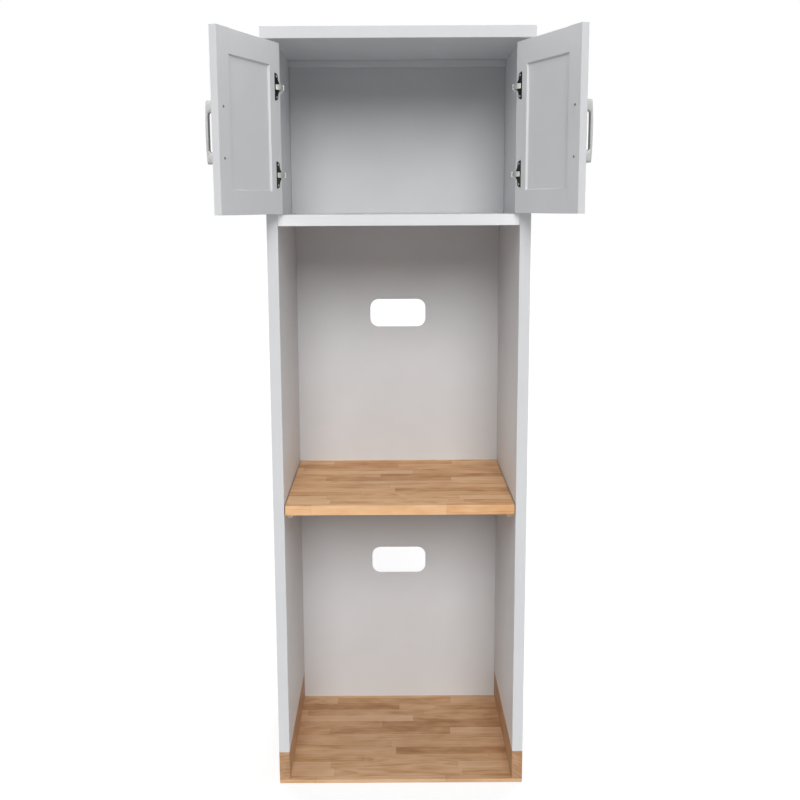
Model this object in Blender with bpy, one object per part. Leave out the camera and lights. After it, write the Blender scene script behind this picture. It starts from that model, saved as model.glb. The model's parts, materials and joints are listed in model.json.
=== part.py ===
"""Tall cabinet for two stacked washing machines, with a two-door cupboard on top.

Metres, +Z up. The front faces -Y and the origin is the centre of the cabinet's underside.
It stands as photographed, with both doors swung open. Each door hangs on two concealed hinges,
and each hinge is a cup in the door, two links that fold, an arm and a plate on the side panel.
"""

import math

import bmesh
import bpy

# Carcass
WIDTH = 0.800
DEPTH = 0.600
BOARD = 0.034
SEAT = 0.0003
ARRIS = 0.001
TOP_SIDE_OVERHANG = 0.0035
TOP_FRONT_OVERHANG = 0.030

# Base, shelf and the clear height of each space
BASE_BOARD = 0.012
BLOCK_HEIGHT = 0.098
LOWER_BAY = 0.905
UPPER_BAY = 0.875
CUPBOARD_HEIGHT = 0.508
SHELF = 0.032
SHELF_END_GAP = 0.0025
SHELF_SETBACK = 0.002
CLEAT = 0.022
CLEAT_SETBACK = 0.050

# Backs and rails
CUPBOARD_DEPTH = 0.460
CUPBOARD_BACK = 0.008
BAY_BACK = 0.006
BACK_RAIL_HEIGHT = 0.022
BACK_RAIL = 0.018
WALL_RAIL_HEIGHT = 0.080
WALL_RAIL = 0.018
CUTOUT_WIDTH = 0.200
CUTOUT_HEIGHT = 0.100
CUTOUT_RADIUS = 0.030
CUTOUT_RISE = 0.500

# Doors: frames with a panel let into grooves
DOOR_THICKNESS = 0.022
DOOR_SIDE_GAP = 0.0025
DOOR_MIDDLE_GAP = 0.003
DOOR_BOTTOM_GAP = 0.0025
DOOR_TOP_GAP = 0.011
STILE = 0.066
RAIL = 0.070
PANEL = 0.008
GROOVE_DEPTH = 0.009
EDGE_SLOPE = 0.003
EDGE_LIP = 0.001
OPEN_ANGLE = math.radians(111)
POLE_INSET = 0.0016

# Bow handles
HANDLE_LENGTH = 0.168
HANDLE_WINDOW = 0.103
HANDLE_STANDOFF = 0.023
HANDLE_STRAP = 0.006
HANDLE_CROWN = 0.003
HANDLE_WIDTH = 0.012
HANDLE_ROUNDING = 0.003
HANDLE_CORNER = 0.007
HANDLE_FROM_EDGE = 0.027
HANDLE_RISE = 0.2195

# Hinges
HINGE_FROM_BOTTOM = 0.1145
HINGE_FROM_TOP = 0.1265
PIN = 0.00125
PIN_CLEARANCE = 0.00035
PIN_INSIDE = 0.0007
EYE = 0.0026
LINK = 0.002
LINK_HEIGHT = 0.018
LINK_HEIGHT_AT_CUP = 0.0145
LINK_BOW = 0.0038
KNUCKLE_NECK = 0.0017
KNUCKLE_HEIGHT = 0.008
INNER_LINK_HEIGHT = 0.014
KNUCKLE_CLEARANCE = 0.0007
CUP_PIVOT_FROM_EDGE = 0.0225
CUP_PIVOT_DEPTH = 0.0015
CUP_CENTRE = 0.0207
CUP_RADIUS = 0.013
CUP_DEPTH = 0.0115
CUP_WALL = 0.0012
FLANGE = 0.0012
FLANGE_FAR_EDGE = 0.0346
FLANGE_NEAR_EDGE = 0.007
FLANGE_NEAR_HEIGHT = 0.024
FLANGE_LOBE = 0.0093
FLANGE_SCREWS = 0.060
FLANGE_FLARE = 0.0135
ARM_PIVOT_OFFSET = 0.016
ARM_PIVOT_DEPTH = 0.033
ARM_NOSE = 0.0042
ARM_CHEEK = 0.0015
ARM_FOOT = 0.004
ARM_BACK = 0.013
ARM_BEND = 0.048
ARM_END = 0.095
PLATE = 0.0022
PLATE_WING_HEIGHT = 0.046
PLATE_FRONT = 0.058
PLATE_REAR = 0.078
PLATE_CORNER = 0.004

# How finely round things are drawn
BORE_STEPS = 36
EYE_STEPS = 10
CORNER_STEPS = 5
BOW_STEPS = 10
SMOOTH_ANGLE = math.radians(35)
OVERRUN = 0.002

# Places that follow from the sizes
INNER = WIDTH / 2 - BOARD
FRONT = -DEPTH / 2
REAR = DEPTH / 2
BASE_TOP = BASE_BOARD
BLOCK_TOP = BASE_TOP + BLOCK_HEIGHT
SHELF_BOTTOM = BASE_TOP + LOWER_BAY
SHELF_TOP = SHELF_BOTTOM + SHELF
FLOOR_BOTTOM = SHELF_TOP + UPPER_BAY
FLOOR_TOP = FLOOR_BOTTOM + BOARD
TOP_BOTTOM = FLOOR_TOP + CUPBOARD_HEIGHT
HEIGHT = TOP_BOTTOM + BOARD
CUPBOARD_BACK_FRONT = FRONT + CUPBOARD_DEPTH
DOOR_BOTTOM = FLOOR_TOP + DOOR_BOTTOM_GAP
DOOR_TOP = TOP_BOTTOM - DOOR_TOP_GAP
DOOR_EDGE = POLE_INSET + DOOR_SIDE_GAP
DOOR_WIDTH = INNER - DOOR_SIDE_GAP - DOOR_MIDDLE_GAP / 2
DOOR_FREE_EDGE = DOOR_EDGE + DOOR_WIDTH
GROOVE_MIDDLE = DOOR_THICKNESS / 2
GROOVE_HALF = PANEL / 2 + SEAT
HINGE_LEVELS = {"lower": DOOR_BOTTOM + HINGE_FROM_BOTTOM, "upper": DOOR_TOP - HINGE_FROM_TOP}


def remove_everything():
    for thing in list(bpy.data.objects):
        bpy.data.objects.remove(thing, do_unlink=True)


def material(name, colour, roughness, metallic=0.0):
    made = bpy.data.materials.new(name)
    made.use_nodes = True
    shader = made.node_tree.nodes["Principled BSDF"]
    shader.inputs["Base Color"].default_value = (*colour, 1.0)
    shader.inputs["Roughness"].default_value = roughness
    shader.inputs["Metallic"].default_value = metallic
    made.diffuse_color = (*colour, 1.0)
    return made


def prism(outline, low, high, along="z"):
    """A closed solid: the outline's points, carried from low to high along one axis.

    The outline lies in the other two axes, named in alphabetical order.
    """
    order = {"x": (2, 0, 1), "y": (0, 2, 1), "z": (0, 1, 2)}[along]
    shape = bmesh.new()
    rings = []
    for level in (low, high):
        flat = [(*point, level) for point in outline]
        rings.append([shape.verts.new([point[axis] for axis in order]) for point in flat])
    bottom, top = rings
    shape.faces.new(bottom)
    shape.faces.new(top)
    for here in range(len(outline)):
        after = (here + 1) % len(outline)
        shape.faces.new((bottom[here], bottom[after], top[after], top[here]))
    bmesh.ops.recalc_face_normals(shape, faces=shape.faces)
    return shape


def rectangle(left, right, bottom, top):
    return [(left, bottom), (right, bottom), (right, top), (left, top)]


def arc(centre, radius, start, end, steps):
    """Points on a circle from one angle to another, both ends included."""
    turns = [start + (end - start) * step / steps for step in range(steps + 1)]
    return [(centre[0] + radius * math.cos(a), centre[1] + radius * math.sin(a)) for a in turns]


def circle(centre, radius, steps=BORE_STEPS):
    return arc(centre, radius, 0, 2 * math.pi, steps)[:-1]


def rounded_rectangle(left, right, bottom, top, radius):
    quarter = math.pi / 2
    centres = [
        (right - radius, top - radius),
        (left + radius, top - radius),
        (left + radius, bottom + radius),
        (right - radius, bottom + radius),
    ]
    outline = []
    for index, centre in enumerate(centres):
        outline += arc(centre, radius, index * quarter, (index + 1) * quarter, CORNER_STEPS)
    return outline


def combined(base, tool, operation):
    """The Boolean of two closed solids as a new one. Both are used up."""
    helpers = []
    for shape in (base, tool):
        mesh = bpy.data.meshes.new("helper")
        shape.to_mesh(mesh)
        shape.free()
        helper = bpy.data.objects.new("helper", mesh)
        bpy.context.scene.collection.objects.link(helper)
        helpers.append(helper)
    boolean = helpers[0].modifiers.new("combine", "BOOLEAN")
    boolean.operation = operation
    boolean.object = helpers[1]
    seen = helpers[0].evaluated_get(bpy.context.evaluated_depsgraph_get())
    made = bmesh.new()
    made.from_mesh(seen.to_mesh())
    seen.to_mesh_clear()
    for helper in helpers:
        bpy.data.objects.remove(helper, do_unlink=True)
    return made


def joined(shapes):
    whole = shapes[0]
    for shape in shapes[1:]:
        whole = combined(whole, shape, "UNION")
    return whole


def cut(shape, tools):
    for tool in tools:
        shape = combined(shape, tool, "DIFFERENCE")
    return shape


def add(name, shape, finish, place=(0, 0, 0), parent=None, mirrored=False, turn=0.0):
    """Makes the node. Mirrored, its mesh, place and turn are those of the other side."""
    sign = -1 if mirrored else 1
    if mirrored:
        bmesh.ops.scale(shape, vec=(-1, 1, 1), verts=shape.verts)
        bmesh.ops.reverse_faces(shape, faces=shape.faces)
    mesh = bpy.data.meshes.new(name)
    shape.to_mesh(mesh)
    shape.free()
    mesh.materials.append(finish)
    mesh.shade_smooth()
    mesh.set_sharp_from_angle(angle=SMOOTH_ANGLE)
    node = bpy.data.objects.new(name, mesh)
    bpy.context.scene.collection.objects.link(node)
    node.location = (sign * place[0], place[1], place[2])
    node.rotation_euler = (0, 0, sign * turn)
    node.parent = parent
    return node


def pivot(name, place, mirrored, turn):
    """An empty on a joint's axis."""
    sign = -1 if mirrored else 1
    empty = bpy.data.objects.new(name, None)
    bpy.context.scene.collection.objects.link(empty)
    empty.location = (sign * place[0], place[1], place[2])
    empty.rotation_euler = (0, 0, sign * turn)
    return empty


def board(name, finish, x, y, z, parent=None, mirrored=False):
    """A square-cut board between two limits on each axis, with its arrises taken off."""
    middle = [(low + high) / 2 for low, high in (x, y, z)]
    half = [(high - low) / 2 for low, high in (x, y, z)]
    shape = prism(rectangle(-half[0], half[0], -half[1], half[1]), -half[2], half[2])
    bmesh.ops.bevel(shape, geom=shape.edges[:], offset=ARRIS, segments=1, affect="EDGES")
    return add(name, shape, finish, middle, parent, mirrored)


def carcass(white, timber, pale_timber):
    """Panels, boards, shelf and base, which all stand still."""
    between = (-INNER + SEAT, INNER - SEAT)
    whole_depth = (FRONT, REAR)
    half_width = WIDTH / 2
    top_half = half_width + TOP_SIDE_OVERHANG
    board("base_board", timber, (-half_width, half_width), whole_depth, (0, BASE_TOP))
    board("top_board", white, (-top_half, top_half), (FRONT - TOP_FRONT_OVERHANG, REAR), (TOP_BOTTOM, HEIGHT))
    board("cupboard_floor", white, between, whole_depth, (FLOOR_BOTTOM, FLOOR_TOP))
    shelf_x = (-INNER + SHELF_END_GAP, INNER - SHELF_END_GAP)
    bay_rear = REAR - BAY_BACK - SEAT
    board("middle_shelf", timber, shelf_x, (FRONT + SHELF_SETBACK, bay_rear), (SHELF_BOTTOM, SHELF_TOP))
    side_x = (-half_width, -INNER)
    cleat_x = (-INNER + SEAT, -INNER + CLEAT)
    cleat_z = (SHELF_BOTTOM - CLEAT, SHELF_BOTTOM - SEAT)
    for side in ("left", "right"):
        mirrored = side == "right"
        panel_z = (BLOCK_TOP + SEAT, TOP_BOTTOM - SEAT)
        board(f"side_panel_{side}", white, side_x, whole_depth, panel_z, mirrored=mirrored)
        block_z = (BASE_TOP + SEAT, BLOCK_TOP)
        board(f"base_block_{side}", timber, side_x, whole_depth, block_z, mirrored=mirrored)
        cleat_y = (FRONT + CLEAT_SETBACK, bay_rear)
        board(f"shelf_cleat_{side}", pale_timber, cleat_x, cleat_y, cleat_z, mirrored=mirrored)


def backs(white):
    """The cupboard's back with its rail, the wall rail, and the backs of the two machine bays."""
    between = (-INNER + SEAT, INNER - SEAT)
    back_y = (CUPBOARD_BACK_FRONT, CUPBOARD_BACK_FRONT + CUPBOARD_BACK)
    board("cupboard_back_panel", white, between, back_y, (FLOOR_TOP + SEAT, TOP_BOTTOM - SEAT))
    rail_y = (CUPBOARD_BACK_FRONT - SEAT - BACK_RAIL, CUPBOARD_BACK_FRONT - SEAT)
    rail_z = (TOP_BOTTOM - SEAT - BACK_RAIL_HEIGHT, TOP_BOTTOM - SEAT)
    board("cupboard_back_rail", white, between, rail_y, rail_z)
    wall_z = (TOP_BOTTOM - SEAT - WALL_RAIL_HEIGHT, TOP_BOTTOM - SEAT)
    board("wall_fixing_rail", white, between, (REAR - WALL_RAIL, REAR), wall_z)
    shelf_middle = (SHELF_BOTTOM + SHELF_TOP) / 2
    bays = {
        "lower_bay_back_panel": (BASE_TOP, shelf_middle, BASE_TOP),
        "upper_bay_back_panel": (shelf_middle, FLOOR_BOTTOM, SHELF_TOP),
    }
    for name, (low, high, bay_floor) in bays.items():
        sheet = prism(rectangle(*between, low + SEAT, high - SEAT), 0, BAY_BACK, along="y")
        hole_bottom = bay_floor + CUTOUT_RISE
        hole = rounded_rectangle(
            -CUTOUT_WIDTH / 2,
            CUTOUT_WIDTH / 2,
            hole_bottom,
            hole_bottom + CUTOUT_HEIGHT,
            CUTOUT_RADIUS,
        )
        sheet = cut(sheet, [prism(hole, -OVERRUN, BAY_BACK + OVERRUN, along="y")])
        add(name, sheet, white, (0, REAR - BAY_BACK, 0))


def stile_outline(outer, inner):
    """Cross-section of a stile, from its outer edge to the inner edge, which slopes to the panel's groove."""
    inward = math.copysign(1, outer - inner)
    groove_end = inner + inward * GROOVE_DEPTH
    brow = inner + inward * EDGE_SLOPE
    return [
        (outer, ARRIS),
        (outer, DOOR_THICKNESS - ARRIS),
        (outer - inward * ARRIS, DOOR_THICKNESS),
        (brow, DOOR_THICKNESS),
        (inner, GROOVE_MIDDLE + GROOVE_HALF + EDGE_LIP),
        (inner, GROOVE_MIDDLE + GROOVE_HALF),
        (groove_end, GROOVE_MIDDLE + GROOVE_HALF),
        (groove_end, GROOVE_MIDDLE - GROOVE_HALF),
        (inner, GROOVE_MIDDLE - GROOVE_HALF),
        (inner, GROOVE_MIDDLE - GROOVE_HALF - EDGE_LIP),
        (brow, 0),
        (outer - inward * ARRIS, 0),
    ]


def cope_outline(inner, inward):
    """What a rail's end loses, so that it fits over the sloping edge of the stile with clearance."""
    edge = inner - inward * SEAT
    foot = GROOVE_HALF + EDGE_LIP
    reach = GROOVE_MIDDLE + OVERRUN
    run_out = edge + inward * EDGE_SLOPE * (reach - foot) / (GROOVE_MIDDLE - foot)
    far = inner + inward * STILE
    half = [(run_out, reach), (edge, foot), (edge, -foot), (run_out, -reach)]
    return [(x, GROOVE_MIDDLE + y) for x, y in [(far, -reach), (far, reach), *half]]


def cup_bore(level):
    """What the drill takes out of the stile for a hinge cup."""
    centre = (DOOR_EDGE + CUP_CENTRE, level)
    bottom = DOOR_THICKNESS - CUP_DEPTH - SEAT
    return prism(circle(centre, CUP_RADIUS + SEAT), bottom, DOOR_THICKNESS + OVERRUN, along="y")


def door_rail(low, high):
    """A rail whose groove faces the edge called high, with a tongue at each end."""
    inward = math.copysign(1, low - high)
    section = [(y, z) for z, y in stile_outline(low, high)]
    hinge_inner = DOOR_EDGE + STILE
    free_inner = DOOR_FREE_EDGE - STILE
    left = hinge_inner + SEAT
    right = free_inner - SEAT
    copes = [cope_outline(hinge_inner, -1), cope_outline(free_inner, 1)]
    spare = EDGE_SLOPE + OVERRUN
    body = prism(section, left - spare, right + spare, along="x")
    body = cut(body, [prism(cope, min(low, high) - RAIL, max(low, high) + RAIL) for cope in copes])
    tongue_y = (GROOVE_MIDDLE - PANEL / 2, GROOVE_MIDDLE + PANEL / 2)
    tongue_z = sorted((low - inward * ARRIS, high + inward * (GROOVE_DEPTH + SEAT)))
    reach = GROOVE_DEPTH - SEAT
    ends = ((left - reach, left + OVERRUN), (right - OVERRUN, right + reach))
    tongues = [prism(rectangle(*end, *tongue_y), *tongue_z) for end in ends]
    return joined([body, *tongues])


def handle_shape():
    """A flat strap bent into a bow, drawn from the side: square feet, rounded window, crowned front.

    It stands on the door's outer face, at zero depth, and reaches out towards -Y.
    """
    half = HANDLE_LENGTH / 2
    window = HANDLE_WINDOW / 2
    shoulder = half - HANDLE_ROUNDING
    reach = HANDLE_STANDOFF + HANDLE_STRAP
    corner = arc((reach - HANDLE_ROUNDING, -shoulder), HANDLE_ROUNDING, -math.pi / 2, 0, CORNER_STEPS)
    steps = range(1, BOW_STEPS + 1)
    crown = [(reach + HANDLE_CROWN * (1 - (1 - s / BOW_STEPS) ** 2), -shoulder * (1 - s / BOW_STEPS)) for s in steps]
    lower = [(SEAT, -half), *corner, *crown]
    upper = [(out, -z) for out, z in reversed(lower[:-1])]
    outline = [(-out, z) for out, z in [*lower, *upper]]
    opening = rounded_rectangle(-HANDLE_STANDOFF, HANDLE_STANDOFF, -window, window, HANDLE_CORNER)
    strap = prism(outline, -HANDLE_WIDTH / 2, HANDLE_WIDTH / 2, along="x")
    side = HANDLE_WIDTH / 2 + OVERRUN
    through = prism(opening, -side, side, along="x")
    return cut(strap, [through])


def door(side, white, nickel, dark):
    mirrored = side == "right"
    hinge_line = pivot(f"{side}_door_pivot", (-INNER - POLE_INSET, FRONT, 0), mirrored, -OPEN_ANGLE)
    names = {"parent": hinge_line, "mirrored": mirrored}
    hinge_inner = DOOR_EDGE + STILE
    free_inner = DOOR_FREE_EDGE - STILE
    hinge_stile = prism(stile_outline(DOOR_EDGE, hinge_inner), DOOR_BOTTOM, DOOR_TOP)
    hinge_stile = cut(hinge_stile, [cup_bore(level) for level in HINGE_LEVELS.values()])
    add(f"{side}_door_hinge_stile", hinge_stile, white, **names)
    free_stile = prism(stile_outline(DOOR_FREE_EDGE, free_inner), DOOR_BOTTOM, DOOR_TOP)
    add(f"{side}_door_free_stile", free_stile, white, **names)
    add(f"{side}_door_bottom_rail", door_rail(DOOR_BOTTOM, DOOR_BOTTOM + RAIL), white, **names)
    add(f"{side}_door_top_rail", door_rail(DOOR_TOP, DOOR_TOP - RAIL), white, **names)
    let_in = GROOVE_DEPTH - SEAT
    panel_x = (hinge_inner - let_in, free_inner + let_in)
    panel_y = (GROOVE_MIDDLE - PANEL / 2, GROOVE_MIDDLE + PANEL / 2)
    panel_z = (DOOR_BOTTOM + RAIL - let_in, DOOR_TOP - RAIL + let_in)
    board(f"{side}_door_panel", white, panel_x, panel_y, panel_z, **names)
    handle_at = (DOOR_FREE_EDGE - HANDLE_FROM_EDGE, 0, DOOR_BOTTOM + HANDLE_RISE)
    add(f"{side}_door_handle", handle_shape(), nickel, handle_at, **names)
    for place, level in HINGE_LEVELS.items():
        add(f"{side}_{place}_hinge_cup", cup_shape(), dark, (DOOR_EDGE, DOOR_THICKNESS, level), **names)


def flange_outline():
    """A straight far edge with a half moon at each screw, and a waist that flares towards the arm.

    Each half moon is a quarter of an ellipse round the far edge, and each flare is a parabola.
    """
    lobe_near = FLANGE_FAR_EDGE - 2 * FLANGE_LOBE
    screw = FLANGE_SCREWS / 2
    waist = FLANGE_NEAR_HEIGHT / 2
    moon = arc((0, 0), 1, math.pi / 2, math.pi, 2 * CORNER_STEPS)
    upper = [(FLANGE_FAR_EDGE + 2 * FLANGE_LOBE * x, screw + FLANGE_LOBE * z) for x, z in moon]
    for step in range(CORNER_STEPS + 1):
        along = step / CORNER_STEPS
        x = lobe_near + (FLANGE_NEAR_EDGE - lobe_near) * along**2
        upper.append((x, waist + FLANGE_FLARE * (1 - along)))
    return [*upper, *[(x, -z) for x, z in reversed(upper)]]


def cup_shape():
    """A drilled-in cup with its flange and the pin that the outer link turns on.

    Its own frame has X from the door's edge, Y out of the door's inner face and Z along the door.
    """
    centre = (CUP_CENTRE, 0)
    mouth = SEAT + FLANGE
    flange = prism(flange_outline(), SEAT, mouth, along="y")
    bowl = prism(circle(centre, CUP_RADIUS), -CUP_DEPTH, mouth - FLANGE / 2, along="y")
    hollow = prism(circle(centre, CUP_RADIUS - CUP_WALL), CUP_WALL - CUP_DEPTH, mouth + OVERRUN, along="y")
    pin_reach = CUP_RADIUS - CUP_WALL / 2
    pin = prism(circle((CUP_PIVOT_FROM_EDGE, -CUP_PIVOT_DEPTH), PIN, EYE_STEPS), -pin_reach, pin_reach)
    return joined([cut(joined([flange, bowl]), [hollow]), pin])


def eye_round(line, half):
    """The eye at a line's first point: an arc open where the strap joins it, run clockwise."""
    (x, y), (next_x, next_y) = line[:2]
    heading = math.atan2(next_y - y, next_x - x)
    spread = math.asin(half / EYE)
    return arc((x, y), EYE, heading - spread, heading + spread - 2 * math.pi, 2 * EYE_STEPS)


def strap_outline(line, half, eye_at_start, eye_at_end):
    """Outline of a strap of even thickness along a line, with a round eye at either end."""
    left = []
    right = []
    eye_centres = [line[0]] * eye_at_start + [line[-1]] * eye_at_end
    clear = math.sqrt(EYE**2 - half**2)
    for index, (x, y) in enumerate(line):
        if any(math.dist((x, y), centre) <= clear for centre in eye_centres):
            continue
        before = line[max(index - 1, 0)]
        after = line[min(index + 1, len(line) - 1)]
        heading = math.atan2(after[1] - before[1], after[0] - before[0])
        shift = (-half * math.sin(heading), half * math.cos(heading))
        left.append((x + shift[0], y + shift[1]))
        right.append((x - shift[0], y - shift[1]))
    first_eye = eye_round(line, half) if eye_at_start else []
    last_eye = eye_round(line[::-1], half) if eye_at_end else []
    return [*left, *last_eye, *reversed(right), *first_eye]


def cup_pivot_from_pole():
    return DOOR_EDGE + CUP_PIVOT_FROM_EDGE, DOOR_THICKNESS - CUP_PIVOT_DEPTH


def arm_pivot_from_pole():
    return POLE_INSET + ARM_PIVOT_OFFSET, ARM_PIVOT_DEPTH


def bowed_line(length):
    """Points of an arc over a chord of the given length, bowed towards +Y."""
    radius = (length**2 / 4 + LINK_BOW**2) / (2 * LINK_BOW)
    reach = math.asin(length / 2 / radius)
    start = math.pi / 2 + reach
    end = math.pi / 2 - reach
    return arc((length / 2, LINK_BOW - radius), radius, start, end, BOW_STEPS)


def pin_hole(centre, height):
    return prism(circle(centre, PIN + PIN_CLEARANCE, 2 * EYE_STEPS), -height, height)


def outer_link_shape():
    """The bowed link from the knuckle, at its origin, to the pin in the cup, where it is narrower."""
    length = math.hypot(*arm_pivot_from_pole())
    line = bowed_line(length)
    clear = EYE + 2 * KNUCKLE_CLEARANCE
    free = [point for point in line if math.hypot(*point) > clear]
    half_height = LINK_HEIGHT / 2
    wide = prism(strap_outline(free, LINK / 2, False, True), -half_height, half_height)
    cup_end = length + EYE
    slope = [(clear, half_height), (cup_end, LINK_HEIGHT_AT_CUP / 2), (cup_end, LINK_HEIGHT), (clear, LINK_HEIGHT)]
    reach = LINK_BOW + EYE
    tapers = [prism([(x, sign * z) for x, z in slope], -reach, reach, along="y") for sign in (1, -1)]
    neck = strap_outline(line[: BOW_STEPS // 2], KNUCKLE_NECK / 2, True, False)
    knuckle = prism(neck, -KNUCKLE_HEIGHT / 2, KNUCKLE_HEIGHT / 2)
    holes = [pin_hole((0, 0), LINK_HEIGHT), pin_hole((length, 0), LINK_HEIGHT)]
    return cut(joined([cut(wide, tapers), knuckle]), holes)


def inner_link_shape():
    """The straight link from the arm's pin, at its origin, to the fork that holds the knuckle."""
    length = math.hypot(*cup_pivot_from_pole())
    line = [(length * step / BOW_STEPS, 0) for step in range(BOW_STEPS + 1)]
    half_height = INNER_LINK_HEIGHT / 2
    bar = prism(strap_outline(line, LINK / 2, True, True), -half_height, half_height)
    end = (length, 0)
    slot_half = KNUCKLE_HEIGHT / 2 + SEAT
    slot = prism(circle(end, EYE + KNUCKLE_CLEARANCE), -slot_half, slot_half)
    forked = cut(bar, [slot, pin_hole((0, 0), INNER_LINK_HEIGHT)])
    pin_half = half_height - PIN_INSIDE
    return joined([forked, prism(circle(end, PIN, EYE_STEPS), -pin_half, pin_half)])


def arm_shape():
    """A cranked channel on the plate, whose two cheeks hold the inner link's pin in their nose.

    Its own frame has X out of the side panel's face, Y back from the front plane and Z up.
    """
    nose = (ARM_PIVOT_OFFSET, ARM_PIVOT_DEPTH)
    bow = arc(nose, ARM_NOSE, math.pi, 2 * math.pi, EYE_STEPS)
    outline = [(ARM_FOOT, ARM_END), (ARM_FOOT, ARM_BEND), *bow, (ARM_BACK, ARM_BEND), (ARM_BACK, ARM_END)]
    inside = INNER_LINK_HEIGHT / 2 + SEAT
    outside = inside + ARM_CHEEK
    web = ARM_BACK - ARM_CHEEK
    nose_end = ARM_PIVOT_DEPTH - ARM_NOSE - OVERRUN
    nose_side = ARM_PIVOT_OFFSET + ARM_NOSE + OVERRUN
    channel = [
        (-OVERRUN, ARM_END + OVERRUN),
        (-OVERRUN, nose_end),
        (nose_side, nose_end),
        (nose_side, ARM_BEND),
        (web, ARM_BEND),
        (web, ARM_END + OVERRUN),
    ]
    cheeks = cut(prism(outline, -outside, outside), [prism(channel, -inside, inside)])
    pin_half = inside + ARM_CHEEK / 2
    return joined([cheeks, prism(circle(nose, PIN, EYE_STEPS), -pin_half, pin_half)])


def plate_shape():
    """The winged plate that is screwed to the side panel, with a block that fills the arm's channel."""
    wing = PLATE_WING_HEIGHT / 2
    wings = prism(
        rounded_rectangle(PLATE_FRONT, PLATE_REAR, -wing, wing, PLATE_CORNER), SEAT, PLATE + SEAT, along="x"
    )
    half = INNER_LINK_HEIGHT / 2 - SEAT
    block_x = (PLATE / 2, ARM_BACK - ARM_CHEEK - SEAT)
    block_y = (PLATE_FRONT - PLATE_CORNER, PLATE_REAR + PLATE_CORNER)
    block = prism(rectangle(*block_x, *block_y), -half, half)
    return joined([wings, block])


def hinge_metalwork(side, nickel, dark):
    """The plate and arm on the side panel and the two links, at both levels of one door."""
    mirrored = side == "right"
    cup_x, cup_y = cup_pivot_from_pole()
    arm_x, arm_y = arm_pivot_from_pole()
    cosine = math.cos(OPEN_ANGLE)
    sine = math.sin(OPEN_ANGLE)
    inner_turn = math.atan2(cup_y, cup_x) - OPEN_ANGLE
    outer_turn = math.atan2(-arm_y, -arm_x)
    arm_pin = (-INNER + ARM_PIVOT_OFFSET, FRONT + ARM_PIVOT_DEPTH)
    knuckle = (arm_pin[0] + cosine * cup_x + sine * cup_y, arm_pin[1] - sine * cup_x + cosine * cup_y)
    for place, level in HINGE_LEVELS.items():
        corner = (-INNER, FRONT, level)
        name = f"{side}_{place}_hinge"
        add(f"{name}_plate", plate_shape(), dark, corner, mirrored=mirrored)
        add(f"{name}_arm", arm_shape(), nickel, corner, mirrored=mirrored)
        at_arm = (*arm_pin, level)
        at_knuckle = (*knuckle, level)
        add(f"{name}_inner_link", inner_link_shape(), nickel, at_arm, mirrored=mirrored, turn=inner_turn)
        add(f"{name}_outer_link", outer_link_shape(), nickel, at_knuckle, mirrored=mirrored, turn=outer_turn)


def main():
    remove_everything()
    white = material("white_melamine", (0.76, 0.76, 0.76), 0.45)
    timber = material("oiled_timber", (0.60, 0.38, 0.21), 0.6)
    pale_timber = material("pale_timber", (0.72, 0.70, 0.66), 0.6)
    nickel = material("satin_nickel", (0.62, 0.60, 0.57), 0.32, 1.0)
    dark = material("dark_nickel", (0.16, 0.15, 0.15), 0.4, 1.0)
    carcass(white, timber, pale_timber)
    backs(white)
    for side in ("left", "right"):
        door(side, white, nickel, dark)
        hinge_metalwork(side, nickel, dark)


main()
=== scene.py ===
"""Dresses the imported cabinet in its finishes, adds its screws and smooth handles, and lights it."""
import json
import math

import bpy
import numpy as np
from mathutils import Matrix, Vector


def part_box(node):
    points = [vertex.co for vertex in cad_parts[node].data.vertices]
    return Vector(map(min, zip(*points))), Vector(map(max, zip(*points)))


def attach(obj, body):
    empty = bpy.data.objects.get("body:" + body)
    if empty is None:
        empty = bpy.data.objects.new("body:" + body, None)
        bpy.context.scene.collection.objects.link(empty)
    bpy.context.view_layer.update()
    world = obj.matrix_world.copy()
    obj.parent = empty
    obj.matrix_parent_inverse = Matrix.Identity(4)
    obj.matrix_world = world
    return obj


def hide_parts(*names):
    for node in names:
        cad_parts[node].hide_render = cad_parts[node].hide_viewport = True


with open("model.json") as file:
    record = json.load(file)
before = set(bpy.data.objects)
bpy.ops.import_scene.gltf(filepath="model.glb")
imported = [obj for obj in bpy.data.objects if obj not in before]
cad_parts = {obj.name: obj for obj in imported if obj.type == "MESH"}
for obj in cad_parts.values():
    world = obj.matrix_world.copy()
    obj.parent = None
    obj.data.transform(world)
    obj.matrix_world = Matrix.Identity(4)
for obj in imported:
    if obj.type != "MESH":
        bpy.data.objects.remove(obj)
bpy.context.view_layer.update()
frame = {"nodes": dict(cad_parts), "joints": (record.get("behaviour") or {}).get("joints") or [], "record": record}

MM = 0.001


def middle(name):
    """The middle of a CAD node's box at rest."""
    low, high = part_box(name)
    return (low + high) / 2


# The photograph's camera: its place, how it is turned from level and straight ahead, in radians, and
# how far it sees.
IMAGE_SIDE = 800
FOCAL_PIXELS = 1038.2
MIDDLE_PIXEL = (392.55, 375.69)
CAMERA_PLACE = (-0.0240, -3.4693, 1.8870)
LOOKS_DOWN = 0.1633
LOOKS_RIGHT = 0.0009
ROLL = -0.0050
SENSOR = 36.0
SIGHT = 300.0

# Places read from the CAD model: the side panels' inner faces and front edges, the middle of the
# blocks under them, the handles' level and the hinges' levels. The right side mirrors the left.
panel_low, panel_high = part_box("side_panel_left")
INNER = -panel_high.x
FRONT = panel_low.y
BLOCK_MIDDLE = -middle("base_block_left").x
HANDLE_LEVEL = middle("left_door_handle").z
HINGE_LEVELS = {place: middle(f"left_{place}_hinge_cup").z for place in ("lower", "upper")}

# Sizes that the CAD model has. A door is measured shut, from its hinge line, and what is fixed to a
# side panel from the panel's inner face and front edge. SEAT is left between a piece and its carrier.
DOOR_EDGE = 0.0041
DOOR_FREE_EDGE = 0.3661
DOOR_THICKNESS = 0.022
SEAT = 0.0003

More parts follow.
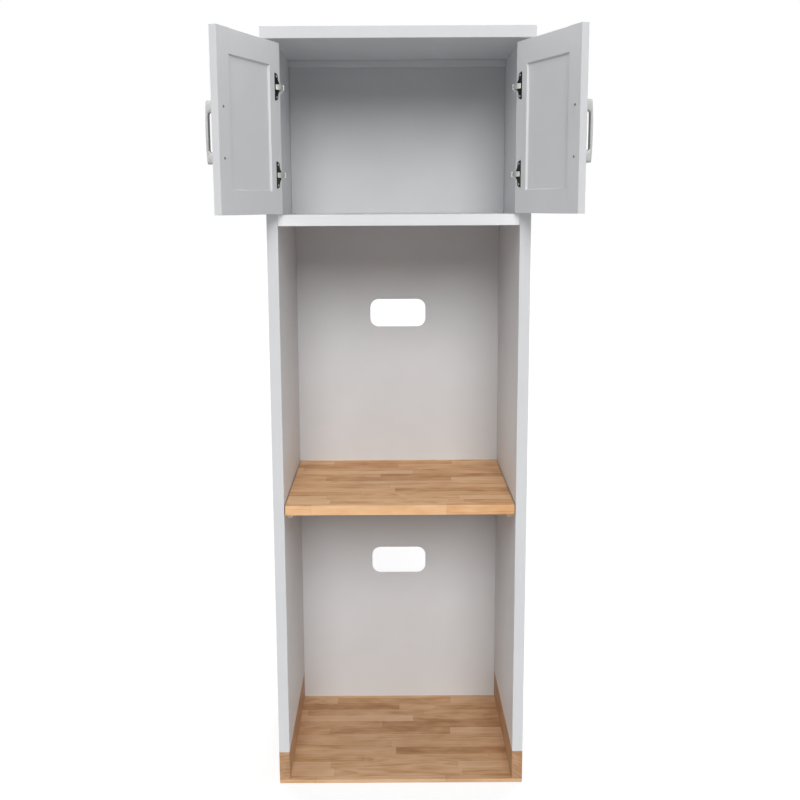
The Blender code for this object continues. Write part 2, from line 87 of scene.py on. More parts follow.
# The handle, as it is seen from the side. Its section is a superellipse, with its power given last.
HANDLE_FROM_EDGE = 0.027
HANDLE_HALF = 0.084
HANDLE_WINDOW = 0.0515
HANDLE_STANDOFF = 0.023
HANDLE_STRAP = 0.006
HANDLE_CROWN = 0.003
HANDLE_ROUNDING = 0.003
HANDLE_CORNER = 0.007
HANDLE_WIDTH = 0.012
HANDLE_POWER = 5

# Where the screws stand: how far out their face is, how far they are from the edge of the door or the
# side panel, and how far above and below the middle.
HANDLE_SCREW_RISE = 0.068
FLANGE_FACE = 0.0015
FLANGE_SCREW_DEPTH = 0.0253
FLANGE_SCREW_RISE = 0.030
PLATE_FACE = 0.0025
PLATE_SCREW_DEPTH = 0.068
PLATE_SCREW_RISE = 0.0165
ARM_FACE = 0.013
ARM_SIDE_SCREW_DEPTH = 0.060
ARM_REAR_SCREW_DEPTH = 0.082

# Screw heads: radius, height of the dome, and depth of the cross.
HANDLE_SCREW_HEAD = (3.6 * MM, 1.9 * MM, 1.2 * MM)
SMALL_SCREW_HEAD = (3.4 * MM, 1.4 * MM, 0.9 * MM)
LARGE_SCREW_HEAD = (3.9 * MM, 1.7 * MM, 1.1 * MM)

# The rim as a share of the dome's height, and the cross as shares of the head's radius: half the
# width of its arms and their reach, each with the width of its soft edge.
RIM = 0.35
CROSS_ARM = 0.12
CROSS_ARM_EDGE = 0.09
CROSS_REACH = 0.50
CROSS_REACH_EDGE = 0.20

# Colours at their places, from 0 to 1, along the pattern of a finish. The cupboard's floor is the same white
# melamine painted a little whiter, as painted light, and its back painted a little greyer, as painted shade.
WHITE_TONES = [(0.3, "#D3D4D6"), (0.7, "#D6D7D9")]
PAINTED_LIGHT_FLOOR_TONES = [(0.3, "#E8E9EA"), (0.7, "#EBECED")]
PAINTED_SHADE_BACK_TONES = [(0.3, "#C6C7C9"), (0.7, "#C9CACC")]
PAPER_TONES = [(0.2, "#AEAEAF"), (0.8, "#B2B2B3")]

# Timber runs from its lightest wood to its darkest: the shelf, the base board, the blocks, the cleats.
SHELF_TONES = [(0.0, "#F2CBA2"), (0.35, "#EABD8F"), (0.7, "#D6A06D"), (1.0, "#AE7848")]
# The base board is the shelf's timber painted darker and greyer, as painted shade along its front.
PAINTED_SHADE_BASE_TONES = [(0.0, "#E5C39F"), (0.35, "#DCB48D"), (0.7, "#C7996D"), (1.0, "#A1734A")]
BLOCK_TONES = [(0.0, "#CBA684"), (0.35, "#BA9472"), (0.7, "#A17A57"), (1.0, "#7F5B3D")]
CLEAT_TONES = [(0.0, "#EFE5D6"), (0.35, "#E8DBC9"), (0.7, "#D9C8B2"), (1.0, "#C2AF97")]

# How timber is cut: how far its grain is turned from X, the width and length of a stave, the width of
# a year ring and how much darker it gets, how far aside and how far below a stave's heart may lie,
# and the place along the tones of the lightest and the darkest stave.
GLUED_STAVES = {
    "turn": 0.0, "stave": 46 * MM, "length": 430 * MM, "ring": 3.4 * MM, "ring_depth": 0.22,
    "heart_aside": 300 * MM, "heart_below": (160 * MM, 300 * MM), "stave_tones": (0.10, 0.70),
}
# Blocks and cleats are whole pieces that run from front to back, each within one wide stave.
WHOLE_PIECE = {
    "turn": math.radians(90), "stave": 2 * BLOCK_MIDDLE, "length": 4000 * MM,
    "heart_aside": 60 * MM, "heart_below": (-20 * MM, 60 * MM), "stave_tones": (0.36, 0.50),
}
WHOLE_BLOCK = {**WHOLE_PIECE, "ring": 13 * MM, "ring_depth": 0.20}
WHOLE_CLEAT = {**WHOLE_PIECE, "ring": 3.4 * MM, "ring_depth": 0.16}

# How much a metal's pattern is packed along X, Y and Z: brushed, it is drawn out into upright lines.
BRUSHED = (1.0, 1.0, 0.05)
NOT_BRUSHED = (1.0, 1.0, 1.0)

# Nodes whose finish is not their slot's, by the end of the node's name: the blocks' own whole-piece timber, and
# copies of a slot's finish painted lighter as painted light, for the cupboard floor, hinge arms and inner links,
# and painted darker as painted shade, for the cupboard back, base board and outer links.
OWN_AND_PAINTED_LIGHT_FINISHES = {
    "cupboard_floor": "floor_white_painted_light",
    "cupboard_back_panel": "back_white_painted_shade",
    "base_board": "base_wood_painted_shade",
    "block_left": "block_timber",
    "block_right": "block_timber",
    "hinge_arm": "nickel_for_arms_painted_light",
    "inner_link": "nickel_for_arms_painted_light",
    "outer_link": "nickel_for_links_painted_shade",
}

# The studio: the side of its paper, what the paper adds for the camera, the light from all round, and
# each lamp's bearing from straight in front and height in degrees, level, and softness in degrees.
PAPER_SIDE = 120.0
PAPER_GLOW = 0.68
ALL_ROUND = 0.01
LAMPS = {
    "front_lamp": (2, 27, 0.65, 30),
    "left_lamp": (-58, 20, 0.17, 36),
    "right_lamp": (58, 20, 0.10, 36),
    "far_left_lamp": (-75, 25, 0.15, 50),
    "far_right_lamp": (75, 25, 0.23, 50),
    "rear_left_lamp": (-150, 32, 0.32, 40),
    "rear_right_lamp": (150, 32, 0.36, 40),
}


# Materials


def linear(hex_colour):
    """sRGB hex to linear: channel / 12.92 where dark, else ((channel + 0.055) / 1.055) to the power 2.4."""
    channel = np.array([int(hex_colour[i : i + 2], 16) for i in (1, 3, 5)]) / 255
    light = np.where(channel <= 0.04045, channel / 12.92, ((channel + 0.055) / 1.055) ** 2.4)
    return (*light.tolist(), 1.0)


def node(tree, kind, inputs=None, stops=(), **settings):
    """Adds one node with its settings and links, and returns it.

    An input is set to a value, or linked where the value is a node, which means its first output,
    or one of a node's outputs. Stops are a colour ramp's places and hex colours, in rising order.
    """
    made = tree.nodes.new(f"ShaderNode{kind}")
    for name, value in settings.items():
        setattr(made, name, value)
    for name, value in (inputs or {}).items():
        source = value.outputs[0] if isinstance(value, bpy.types.Node) else value
        if isinstance(source, bpy.types.NodeSocket):
            tree.links.new(source, made.inputs[name])
        else:
            made.inputs[name].default_value = source
    for index, (place, hex_colour) in enumerate(stops):
        points = made.color_ramp.elements
        point = points[index] if index < len(points) else points.new(place)
        point.position = place
        point.color = linear(hex_colour)
    return made


def blank(name):
    """An empty material; returns it and its tree."""
    made = bpy.data.materials.new(name)
    made.use_nodes = True
    made.node_tree.nodes.clear()
    return made, made.node_tree


def pressed_melamine(name, tones):
    """White melamine faced board: resin-soaked paper pressed on by textured steel plates.

    It gives the eye an even satin white with a fine pearl relief and hardly any clouding. The real
    pearl is about 0.5 mm across; it is drawn at 1.8 mm so that it shows at all.
    """
    cloud_size = 140 * MM
    pearl_size = 1.8 * MM
    pearl_height = 0.06 * MM
    smoothest, roughest = 0.40, 0.52
    made, tree = blank(name)
    place = node(tree, "TexCoord").outputs["Object"]
    cloud = node(tree, "TexNoise", {"Vector": place, "Scale": 1 / cloud_size, "Detail": 4})
    pearl = node(tree, "TexNoise", {"Vector": place, "Scale": 1 / pearl_size, "Detail": 2})
    colour = node(tree, "ValToRGB", {"Fac": cloud}, tones)
    sheen = node(tree, "MapRange", {"Value": pearl, "To Min": smoothest, "To Max": roughest})
    relief = node(tree, "Bump", {"Height": pearl, "Distance": pearl_height, "Strength": 0.5})
    surface = {"Base Color": colour, "Roughness": sheen, "Normal": relief,
               "IOR": 1.5, "Specular IOR Level": 0.3}
    node(tree, "OutputMaterial", {"Surface": node(tree, "BsdfPrincipled", surface)})
    return made


def staves(tree, along, cut):
    """The stave that a point is in: its own chances, and how far through its width and length the point is.

    The row of staves is the whole part of Y over a stave's width. Along the row, X over a stave's
    length is moved by the row's own chance, and its whole part counts the staves. The parts left
    over are the shares of width and length. The chances are white noise of both whole numbers.
    """
    axes = node(tree, "SeparateXYZ", {"Vector": along}).outputs
    rows = node(tree, "Math", {0: axes["Y"], 1: cut["stave"]}, operation="DIVIDE")
    row = node(tree, "Math", {0: rows}, operation="FLOOR")
    row_chance = node(tree, "TexWhiteNoise", {"W": row}, noise_dimensions="1D")
    lengths = node(tree, "Math", {0: axes["X"], 1: cut["length"]}, operation="DIVIDE")
    run = node(tree, "Math", {0: lengths, 1: row_chance}, operation="ADD")
    piece = node(tree, "Math", {0: run}, operation="FLOOR")
    cell = node(tree, "CombineXYZ", {"X": row, "Y": piece})
    chance = node(tree, "TexWhiteNoise", {"Vector": cell}, noise_dimensions="2D").outputs
    in_row = node(tree, "Math", {0: rows}, operation="FRACT")
    in_run = node(tree, "Math", {0: run}, operation="FRACT")
    return chance, in_row, in_run


def distance_from_heart(tree, along, chance, in_row, cut):
    """How far a point is from its stave's heart, which is a line along the grain.

    The point is measured across from the middle of its stave, and up from the middle of its storey,
    half a metre high. The heart lies to one side and below by the stave's own chances.
    """
    storey = 500 * MM
    half_stave = cut["stave"] / 2
    aside = cut["heart_aside"]
    near, far = cut["heart_below"]
    height = node(tree, "SeparateXYZ", {"Vector": along}).outputs["Z"]
    chances = node(tree, "SeparateColor", {"Color": chance["Color"]}).outputs
    across = node(tree, "MapRange", {"Value": in_row, "To Min": -half_stave, "To Max": half_stave})
    storeys = node(tree, "Math", {0: height, 1: 1 / storey, 2: 0.5}, operation="MULTIPLY_ADD")
    in_storey = node(tree, "Math", {0: storeys}, operation="FRACT")
    above = node(tree, "MapRange", {"Value": in_storey, "To Min": -storey / 2, "To Max": storey / 2})
    off = node(tree, "MapRange", {"Value": chances["Red"], "To Min": -aside, "To Max": aside})
    below = node(tree, "MapRange", {"Value": chances["Green"], "To Min": near, "To Max": far})
    heart_y = node(tree, "Math", {0: across, 1: off}, operation="ADD")
    heart_z = node(tree, "Math", {0: above, 1: below}, operation="ADD")
    from_heart = node(tree, "CombineXYZ", {"X": heart_y, "Y": heart_z})
    return node(tree, "VectorMath", {0: from_heart}, operation="LENGTH").outputs["Value"]


def late_wood(tree, along, distance, cut):
    """How much darker a point is for its place in its year ring, which darkens from a third of it on.

    The years are the distance from the heart over a ring's width, bent by slow noise in waves about
    450 mm long and 110 mm wide. Good and bad weather is noise along the years, which makes the
    rings uneven in width and depth.
    """
    waves_per_metre = (2.2, 9.0, 9.0)
    bend_depth = 30 * MM
    weather_per_year = 0.45
    years_gained = 2.4
    darkens_from, darkest_at = 0.35, 0.95
    slow = node(tree, "VectorMath", {0: along, 1: waves_per_metre}, operation="MULTIPLY")
    bend = node(tree, "TexNoise", {"Vector": slow, "Scale": 1.0, "Detail": 2})
    radius = node(tree, "Math", {0: bend, 1: bend_depth, 2: distance}, operation="MULTIPLY_ADD")
    years = node(tree, "Math", {0: radius, 1: cut["ring"]}, operation="DIVIDE")
    good_and_bad = {"W": years, "Scale": weather_per_year, "Detail": 2}
    weather = node(tree, "TexNoise", good_and_bad, noise_dimensions="1D")
    uneven = node(tree, "Math", {0: weather, 1: years_gained, 2: years}, operation="MULTIPLY_ADD")
    year = node(tree, "Math", {0: uneven}, operation="FRACT")
    deepest = node(tree, "Math", {0: weather, 1: 2 * cut["ring_depth"]}, operation="MULTIPLY")
    late = {"Value": year, "From Min": darkens_from, "From Max": darkest_at, "To Max": deepest}
    return node(tree, "MapRange", late)


def fibres(tree, along):
    """Noise drawn out along the grain. Real fibres are 0.4 mm wide; they are drawn at 1.1 mm."""
    length = 44 * MM
    slimness = 40.0
    long_way = node(tree, "VectorMath", {0: along, 1: (1.0, slimness, slimness)}, operation="MULTIPLY")
    fine = {"Vector": long_way, "Scale": 1 / length, "Detail": 5, "Roughness": 0.6}
    return node(tree, "TexNoise", fine)


def soft_patches(tree, along):
    """How much darker or lighter a point is for the patch it is in, three times as long as it is wide."""
    length = 95 * MM
    slimness = 3.0
    most = 0.40
    drawn_out = node(tree, "VectorMath", {0: along, 1: (1.0, slimness, slimness)}, operation="MULTIPLY")
    figure = node(tree, "TexNoise", {"Vector": drawn_out, "Scale": 1 / length, "Detail": 2})
    return node(tree, "MapRange", {"Value": figure, "To Min": -most, "To Max": most})


def glue_lines(tree, in_row, in_run, cut):
    """How much darker a point is within a thin border at the edges and the ends of its stave.

    A real glue line is about 0.2 mm wide. The borders of two staves together make it 1.4 mm wide at
    their edges and 1.8 mm at their ends, so that it shows.
    """
    edge = 0.7 * MM
    end = 0.9 * MM
    darker = 0.18
    within_edges = {0: in_row, 1: 0.5, 2: 0.5 - edge / cut["stave"]}
    within_ends = {0: in_run, 1: 0.5, 2: 0.5 - end / cut["length"]}
    clear_of_edges = node(tree, "Math", within_edges, operation="COMPARE")
    clear_of_ends = node(tree, "Math", within_ends, operation="COMPARE")
    clear = node(tree, "Math", {0: clear_of_edges, 1: clear_of_ends}, operation="MULTIPLY")
    return node(tree, "MapRange", {"Value": clear, "To Min": darker, "To Max": 0.0})


def oiled_timber(name, tones, cut):
    """Solid timber, planed and oiled, in depth and not only on the face: edge-glued staves, or one piece.

    Each stave has its own tone and its own heart, off to one side and below, with year rings round
    it. It gives the eye long light and dark streaks with soft patches of about 100 mm, a thin dark
    line where two staves meet, and arcs on the end grain.
    """
    streak_most = 0.16
    fibre_height = 0.12 * MM
    smoothest, roughest = 0.42, 0.62
    made, tree = blank(name)
    place = node(tree, "TexCoord").outputs["Object"]
    along = node(tree, "Mapping", {"Vector": place, "Rotation": (0, 0, cut["turn"])})
    chance, in_row, in_run = staves(tree, along, cut)
    distance = distance_from_heart(tree, along, chance, in_row, cut)
    late = late_wood(tree, along, distance, cut)
    fibre = fibres(tree, along)
    streak = node(tree, "MapRange", {"Value": fibre, "To Min": -streak_most, "To Max": streak_most})
    patch = soft_patches(tree, along)
    joint = glue_lines(tree, in_row, in_run, cut)
    lightest, darkest = cut["stave_tones"]
    tone = node(tree, "MapRange", {"Value": chance["Value"], "To Min": lightest, "To Max": darkest})
    for part in (late, streak, patch, joint):
        tone = node(tree, "Math", {0: tone, 1: part}, operation="ADD")
    colour = node(tree, "ValToRGB", {"Fac": tone}, tones)
    sheen = node(tree, "MapRange", {"Value": fibre, "To Min": smoothest, "To Max": roughest})
    relief = node(tree, "Bump", {"Height": fibre, "Distance": fibre_height, "Strength": 0.5})
    surface = {"Base Color": colour, "Roughness": sheen, "Normal": relief,
               "IOR": 1.46, "Specular IOR Level": 0.3}
    node(tree, "OutputMaterial", {"Surface": node(tree, "BsdfPrincipled", surface)})
    return made


def plated_metal(name, tones, roughness, packing):
    """Nickel or zinc plate on pressed steel or cast zinc, which was brushed before plating, or not.

    It gives the eye a soft metal sheen with faint clouds and fine scratches. Real scratches are under
    0.1 mm apart; they are drawn at 0.5 mm.
    """
    scratch_size = 0.5 * MM
    scratch_depth = 0.01 * MM
    cloud_size = 9 * MM
    smoothest, roughest = roughness
    made, tree = blank(name)
    place = node(tree, "TexCoord").outputs["Object"]
    lines = node(tree, "VectorMath", {0: place, 1: packing}, operation="MULTIPLY")
    scratch = node(tree, "TexNoise", {"Vector": lines, "Scale": 1 / scratch_size, "Detail": 3})
    cloud = node(tree, "TexNoise", {"Vector": place, "Scale": 1 / cloud_size, "Detail": 3})
    colour = node(tree, "ValToRGB", {"Fac": cloud}, tones)
    sheen = node(tree, "MapRange", {"Value": scratch, "To Min": smoothest, "To Max": roughest})
    relief = node(tree, "Bump", {"Height": scratch, "Distance": scratch_depth, "Strength": 0.4})
    surface = {"Base Color": colour, "Roughness": sheen, "Normal": relief, "Metallic": 1.0}
    node(tree, "OutputMaterial", {"Surface": node(tree, "BsdfPrincipled", surface)})
    return made


def satin_nickel():
    """Nickel on the bent steel handles, brushed along them: a calm mid grey with fine upright lines."""
    tones = [(0.3, "#949493"), (0.7, "#A0A09F")]
    return plated_metal("satin_nickel_plate", tones, (0.36, 0.48), BRUSHED)


def dark_nickel():
    """Nickel on the pressed hinge cups and plates, not brushed, with a broad gloss; its nearly black colour is a
    painted dark reflection on the cups and painted shade on the plates.
    """
    tones = [(0.3, "#332F2D"), (0.7, "#3F3B38")]
    return plated_metal("nickel_painted_dark_reflection_and_shade", tones, (0.34, 0.46), NOT_BRUSHED)


def nickel_for_arms_painted_light():
    """Bright nickel on the hinges' arms and inner links, painted nearly white: painted light, so that with the
    greyer outer links the hinge looks evenly lit.
    """
    tones = [(0.3, "#ECEBE7"), (0.7, "#F3F2EE")]
    return plated_metal("nickel_arm_painted_light", tones, (0.50, 0.60), BRUSHED)


def nickel_for_links_painted_shade():
    """Bright nickel on the hinges' outer links, painted a little greyer than the arms: painted shade, for arm and
    link are the same nickel.
    """
    tones = [(0.3, "#BEBDBA"), (0.7, "#CAC9C6")]
    return plated_metal("nickel_link_painted_shade", tones, (0.48, 0.58), BRUSHED)


def screw_zinc():
    """Clear zinc on the hinge screws: light grey, and glossier than the nickel round them."""
    tones = [(0.3, "#A9A9A6"), (0.7, "#BDBDBA")]
    return plated_metal("zinc_plated_screw", tones, (0.25, 0.35), NOT_BRUSHED)


def black_zinc():
    """Black zinc on the handle screws: dark grey against the white of the door."""
    tones = [(0.3, "#757371"), (0.7, "#82807D")]
    return plated_metal("black_zinc_screw", tones, (0.34, 0.46), NOT_BRUSHED)


def studio_paper():
    """Matt white paper; the camera also sees a little light of its own, so bare paper is white."""
    cloud_size = 900 * MM
    made, tree = blank("white_studio_paper")
    place = node(tree, "TexCoord").outputs["Object"]
    cloud = node(tree, "TexNoise", {"Vector": place, "Scale": 1 / cloud_size})
    colour = node(tree, "ValToRGB", {"Fac": cloud}, PAPER_TONES)
    glow = node(tree, "Math", {0: seen(tree), 1: PAPER_GLOW}, operation="MULTIPLY")
    surface = {"Base Color": colour, "Roughness": 1.0, "Specular IOR Level": 0.0,
               "Emission Color": (1, 1, 1, 1), "Emission Strength": glow}
    node(tree, "OutputMaterial", {"Surface": node(tree, "BsdfPrincipled", surface)})
    return made


def seen(tree):
    """1 for a ray from the camera, off metal or through glass, else 0."""
    rays = node(tree, "LightPath").outputs
    shiny = {0: rays["Is Glossy Ray"], 1: rays["Is Transmission Ray"]}
    away = node(tree, "Math", shiny, operation="MAXIMUM")
    return node(tree, "Math", {0: rays["Is Camera Ray"], 1: away}, operation="MAXIMUM")


# Surfaces


def closed_grid(name, points, finish):
    """A mesh from a grid of rows; each row is a closed ring, and the first and last rows close to a point.

    The grid is points[row, column]. Quads join each row to the next; the end rows, all at one
    place, are made single points, with triangles round them.
    """
    rows, columns, _ = points.shape
    inner_rows = points[1:-1].reshape(-1, 3)
    vertices = np.vstack([inner_rows, points[0, :1], points[-1, :1]])
    start, end = len(inner_rows), len(inner_rows) + 1
    column = np.arange(columns)
    following = (column + 1) % columns
    row = np.arange(rows - 3)[:, None] * columns
    quads = np.stack([row + column, row + following, row + columns + following, row + columns + column], -1)
    last = (rows - 3) * columns
    first_fan = np.stack([np.full(columns, start), following, column], -1)
    last_fan = np.stack([np.full(columns, end), last + column, last + following], -1)
    faces = quads.reshape(-1, 4).tolist() + first_fan.tolist() + last_fan.tolist()
    mesh = bpy.data.meshes.new(name)
    mesh.from_pydata(vertices.tolist(), [], faces)
    mesh.materials.append(finish)
    mesh.shade_smooth()
    mesh.update()
    made = bpy.data.objects.new(name, mesh)
    bpy.context.scene.collection.objects.link(made)
    return made


def facing_out(points):
    """The grid with faces that look outwards: its rows are reversed where its volume isn't above zero.

    Two triangles make a quad, and six times the volume is the sum over all triangles of one corner
    dot the cross product of the other two, measured from the middle of the grid.
    """
    corners = points - points.mean(axis=(0, 1))
    beside = np.roll(corners, -1, axis=1)
    first, second, third, fourth = corners[:-1], beside[:-1], beside[1:], corners[1:]
    volume = np.sum(first * np.cross(second, third)) + np.sum(first * np.cross(third, fourth))
    return points if volume > 0 else points[::-1]


def smooth(value):
    """3 t squared less 2 t cubed, with t held between 0 and 1."""
    held = np.clip(value, 0, 1)
    return held * held * (3 - 2 * held)


def screw_head(radius, dome, cross, rings=26, around=72):
    """A domed head with a cross recess, on the plane z = 0, with a short upright rim and a flat underside.

    With r the distance from the middle over the radius, the top is as high as the rim plus the rest
    of the dome times the square root of 1 - r squared. The cross is taken from it in full within
    half the width of either arm and within the arms' reach, and less and less over the soft edges.
    """
    share = np.linspace(0, 1, rings)[:, None]
    angle = np.linspace(0, 2 * np.pi, around, endpoint=False)[None, :]
    u = share * np.cos(angle)
    v = share * np.sin(angle)
    from_arm = np.minimum(np.abs(u), np.abs(v))
    in_arm = 1 - smooth((from_arm - CROSS_ARM) / CROSS_ARM_EDGE)
    in_reach = 1 - smooth((share - CROSS_REACH) / CROSS_REACH_EDGE)
    domed = dome * (RIM + (1 - RIM) * np.sqrt(np.clip(1 - share**2, 0, 1)))
    upper = np.stack([radius * u, radius * v, domed - cross * in_arm * in_reach], -1)
    rim = np.stack([radius * np.cos(angle), radius * np.sin(angle), np.zeros_like(angle)], -1)
    return np.concatenate([upper, rim, np.zeros((1, around, 3))])


def stood(points, place, out):
    """Points of a piece on z = 0, stood at a place with its z axis along out and its y axis upright."""
    up = np.array([0.0, 0.0, 1.0])
    return points @ np.stack([np.cross(up, out), up, out]) + place


def bow_line(half, reach, rounding, crown, steps):
    """One line of the handle's side view, from its foot on the door out, along and back to the door.

    Points are (out from the door, along the handle). The lower half is straight, then a quarter
    circle of that rounding, then the strap, which stands out by its reach plus crown times
    1 - (z / end) squared, where end is the strap's own half length. The upper half mirrors it.
    """
    near = reach - rounding
    end = half - rounding
    turn = np.linspace(0, np.pi / 2, steps)
    along = np.linspace(-end, 0, steps)
    foot = np.stack([np.linspace(SEAT, near, steps), np.full(steps, -half)], -1)
    corner = np.stack([near + rounding * np.sin(turn), -end - rounding * np.cos(turn)], -1)
    strap = np.stack([reach + crown * (1 - (along / end) ** 2), along], -1)
    lower = np.concatenate([foot, corner[1:], strap[1:]])
    return np.concatenate([lower, lower[-2::-1] * (1, -1)])


def bow(steps=14, around=28):
    """A strap bent into a bow, whose section at each station spans its inside and outside lines.

    The section is a superellipse: half its thickness times the cosine, raised to 2 / power with its
    sign kept, and half its width times the sine in the same way. X is across the strap, minus Y
    is out of the door and Z is along the handle. Both ends are closed flat on the door.
    """
    inside = bow_line(HANDLE_WINDOW, HANDLE_STANDOFF, HANDLE_CORNER, 0, steps)
    outside = bow_line(HANDLE_HALF, HANDLE_STANDOFF + HANDLE_STRAP, HANDLE_ROUNDING, HANDLE_CROWN, steps)
    angle = np.linspace(0, 2 * np.pi, around, endpoint=False)
    across = np.sign(np.cos(angle)) * np.abs(np.cos(angle)) ** (2 / HANDLE_POWER)
    wide = np.sign(np.sin(angle)) * np.abs(np.sin(angle)) ** (2 / HANDLE_POWER)
    centre = (inside + outside) / 2
    half = (outside - inside) / 2
    line = centre[:, None, :] + half[:, None, :] * across[None, :, None]
    width = HANDLE_WIDTH / 2 * wide[None, :] * np.ones((len(line), 1))
    rings = np.stack([width, -line[..., 0], line[..., 1]], -1)
    ends = rings[[0, -1]].mean(axis=1, keepdims=True) * np.ones((1, around, 1))
    return np.concatenate([ends[:1], rings, ends[1:]])


# Places


def side_sign(side):
    """What X is multiplied by: the right side is the left one's mirror image."""
    return 1 if side == "left" else -1


def opened(points, side):
    """From the shut left door, measured from its hinge line, to the open door at rest on either side.

    The door turns about its joint by that joint's whole range, and the right door is the mirror image.
    """
    joint = next(j for j in frame["joints"] if j["name"] == f"{side}_door_swing")
    angle = -math.radians(joint["range_deg"][1])
    turned = points @ np.array(Matrix.Rotation(angle, 3, "Z")).T
    turned = turned + (-abs(joint["pos_m"][0]), joint["pos_m"][1], 0)
    return turned * (side_sign(side), 1, 1)


def on_side_panel(points, side):
    """From the left side panel's inner face and front edge to either side panel."""
    return (points + (-INNER, FRONT, 0)) * (side_sign(side), 1, 1)


def add_piece(name, points, finish, body, replaced=()):
    """A piece on its body, with its finish; the CAD nodes that it stands for are hidden."""
    made = closed_grid(name, facing_out(points), finish)
    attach(made, body)
    if replaced:
        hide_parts(*replaced)


def handle(side, finish):
    """The smooth bow that stands for the CAD model's handle, whose curves are facets."""
    name = f"{side}_door_handle"
    points = opened(bow() + (DOOR_FREE_EDGE - HANDLE_FROM_EDGE, 0, HANDLE_LEVEL), side)
    add_piece(f"{name}_bow", points, finish, f"{side}_door", [name])


def handle_screws(side, finish):
    """Two screws through the free stile hold the handle; their heads stand on its inner face."""
    head = screw_head(*HANDLE_SCREW_HEAD)
    for place, rise in (("lower", -HANDLE_SCREW_RISE), ("upper", HANDLE_SCREW_RISE)):
        at = (DOOR_FREE_EDGE - HANDLE_FROM_EDGE, DOOR_THICKNESS + SEAT, HANDLE_LEVEL + rise)
        points = opened(stood(head, at, (0, 1, 0)), side)
        add_piece(f"{side}_door_handle_{place}_screw", points, finish, f"{side}_door")


def hinge_screws(side, finish):
    """Two in each cup flange, two in each plate and two in each arm: one for side and one for depth."""
    small = screw_head(*SMALL_SCREW_HEAD)
    large = screw_head(*LARGE_SCREW_HEAD)
    for place, level in HINGE_LEVELS.items():
        name = f"{side}_{place}_hinge"
        for end, sign in (("low", -1), ("high", 1)):
            face = DOOR_THICKNESS + FLANGE_FACE + SEAT
            at = (DOOR_EDGE + FLANGE_SCREW_DEPTH, face, level + sign * FLANGE_SCREW_RISE)
            points = opened(stood(small, at, (0, 1, 0)), side)
            add_piece(f"{name}_cup_{end}_screw", points, finish, f"{side}_door")
            at = (PLATE_FACE + SEAT, PLATE_SCREW_DEPTH, level + sign * PLATE_SCREW_RISE)
            points = on_side_panel(stood(small, at, (1, 0, 0)), side)
            add_piece(f"{name}_plate_{end}_screw", points, finish, "root")
        for end, depth in (("side", ARM_SIDE_SCREW_DEPTH), ("depth", ARM_REAR_SCREW_DEPTH)):
            points = on_side_panel(stood(large, (ARM_FACE + SEAT, depth, level), (1, 0, 0)), side)
            add_piece(f"{name}_arm_{end}_screw", points, finish, "root")


# Scene


def dress_frame(finishes):
    """Each CAD node gets the finish of its slot in the record, unless the end of its name lists another: the
    blocks' own timber, and copies of slot finishes with painted light and painted shade.
    """
    for part in frame["record"]["subparts"]:
        made = frame["nodes"][part["node"]].data.materials
        made.clear()
        listed = [finish for ending, finish in OWN_AND_PAINTED_LIGHT_FINISHES.items() if part["node"].endswith(ending)]
        made.append(finishes[listed[0] if listed else part["material_slot"]])


def camera_axes():
    """Right, up and back of a camera that looks along +Y, turned right and down, then rolled."""
    level = np.array([math.cos(LOOKS_RIGHT), -math.sin(LOOKS_RIGHT), 0])
    forward = np.array([math.sin(LOOKS_RIGHT), math.cos(LOOKS_RIGHT), 0])
    ahead = math.cos(LOOKS_DOWN) * forward - math.sin(LOOKS_DOWN) * np.array([0, 0, 1])
    above = np.cross(level, ahead)
    right = math.cos(ROLL) * level + math.sin(ROLL) * above
    up = -math.sin(ROLL) * level + math.cos(ROLL) * above
    return right, up, -ahead


def camera():
    """The photograph's camera; its axes are its matrix's columns, and its shift sets the middle pixel."""
    data = bpy.data.cameras.new("photograph_camera")
    data.sensor_width = SENSOR
    data.lens = FOCAL_PIXELS / IMAGE_SIDE * SENSOR
    data.shift_x = (IMAGE_SIDE / 2 - MIDDLE_PIXEL[0]) / IMAGE_SIDE
    data.shift_y = (MIDDLE_PIXEL[1] - IMAGE_SIDE / 2) / IMAGE_SIDE
    data.clip_end = SIGHT
    turned = Matrix(np.stack(camera_axes(), -1)).to_4x4()
    made = bpy.data.objects.new("photograph_camera", data)
    made.matrix_world = Matrix.Translation(CAMERA_PLACE) @ turned
    bpy.context.scene.collection.objects.link(made)
    bpy.context.scene.camera = made


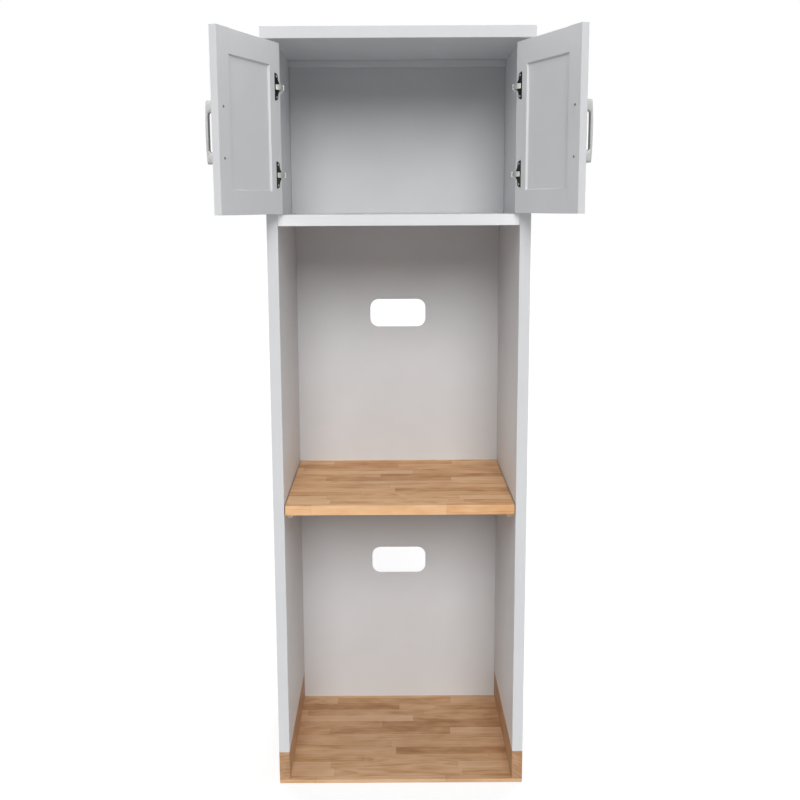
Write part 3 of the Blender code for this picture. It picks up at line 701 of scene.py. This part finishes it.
def lamp(name, bearing, height, level, softness):
    """A sun whose light on a square-on white surface adds that level; softness is its width in degrees.

    It stands at a bearing to the right of straight in front. Its minus Z axis is straight down, then
    tilted to that height, then turned to that bearing.
    """
    data = bpy.data.lights.new(name, "SUN")
    data.energy = math.pi * level
    data.angle = math.radians(softness)
    made = bpy.data.objects.new(name, data)
    made.rotation_euler = (math.radians(90 - height), 0, math.radians(bearing))
    bpy.context.scene.collection.objects.link(made)


def backdrop():
    """White where the camera and shiny surfaces see it; on the rest it sheds a faint even light."""
    world = bpy.data.worlds.new("white_studio")
    world.use_nodes = True
    tree = world.node_tree
    tree.nodes.clear()
    strength = node(tree, "MapRange", {"Value": seen(tree), "To Min": ALL_ROUND, "To Max": 1.0})
    white = node(tree, "Background", {"Color": (1, 1, 1, 1), "Strength": strength})
    node(tree, "OutputWorld", {"Surface": white})
    bpy.context.scene.world = world


def studio_floor():
    """One square sheet of paper just under the cabinet, wider than any view of it."""
    half = PAPER_SIDE / 2
    corners = [(-half, -half, -SEAT), (half, -half, -SEAT), (half, half, -SEAT), (-half, half, -SEAT)]
    mesh = bpy.data.meshes.new("studio_floor")
    mesh.from_pydata(corners, [], [(0, 1, 2, 3)])
    mesh.materials.append(studio_paper())
    paper = bpy.data.objects.new("studio_floor", mesh)
    bpy.context.scene.collection.objects.link(paper)


bpy.context.scene.view_settings.view_transform = "Standard"
camera()
satin = satin_nickel()
zinc = screw_zinc()
dark_zinc = black_zinc()
dress_frame({
    "white_melamine": pressed_melamine("pressed_white_melamine", WHITE_TONES),
    # The cupboard's floor: white melamine painted a little whiter, as painted light.
    "floor_white_painted_light": pressed_melamine("melamine_on_floor_painted_light", PAINTED_LIGHT_FLOOR_TONES),
    # The cupboard's back: white melamine painted a little greyer, as painted shade.
    "back_white_painted_shade": pressed_melamine("melamine_on_back_painted_shade", PAINTED_SHADE_BACK_TONES),
    "timber": oiled_timber("oiled_glued_timber", SHELF_TONES, GLUED_STAVES),
    # The base board: the shelf's timber, painted darker and greyer as painted shade.
    "base_wood_painted_shade": oiled_timber("oiled_timber_on_base_painted_shade", PAINTED_SHADE_BASE_TONES, GLUED_STAVES),
    "block_timber": oiled_timber("oiled_timber_block", BLOCK_TONES, WHOLE_BLOCK),
    "pale_timber": oiled_timber("pale_planed_timber", CLEAT_TONES, WHOLE_CLEAT),
    "satin_nickel": satin,
    # Cups and plates: nickel painted nearly black, as painted dark reflection and painted shade.
    "dark_nickel": dark_nickel(),
    # Arms and inner links: nickel painted nearly white, as painted light.
    "nickel_for_arms_painted_light": nickel_for_arms_painted_light(),
    # Outer links: the same nickel painted greyer, as painted shade.
    "nickel_for_links_painted_shade": nickel_for_links_painted_shade(),
})
for side in ("left", "right"):
    handle(side, satin)
    handle_screws(side, dark_zinc)
    hinge_screws(side, zinc)
backdrop()
studio_floor()
for name, settings in LAMPS.items():
    lamp(name, *settings)
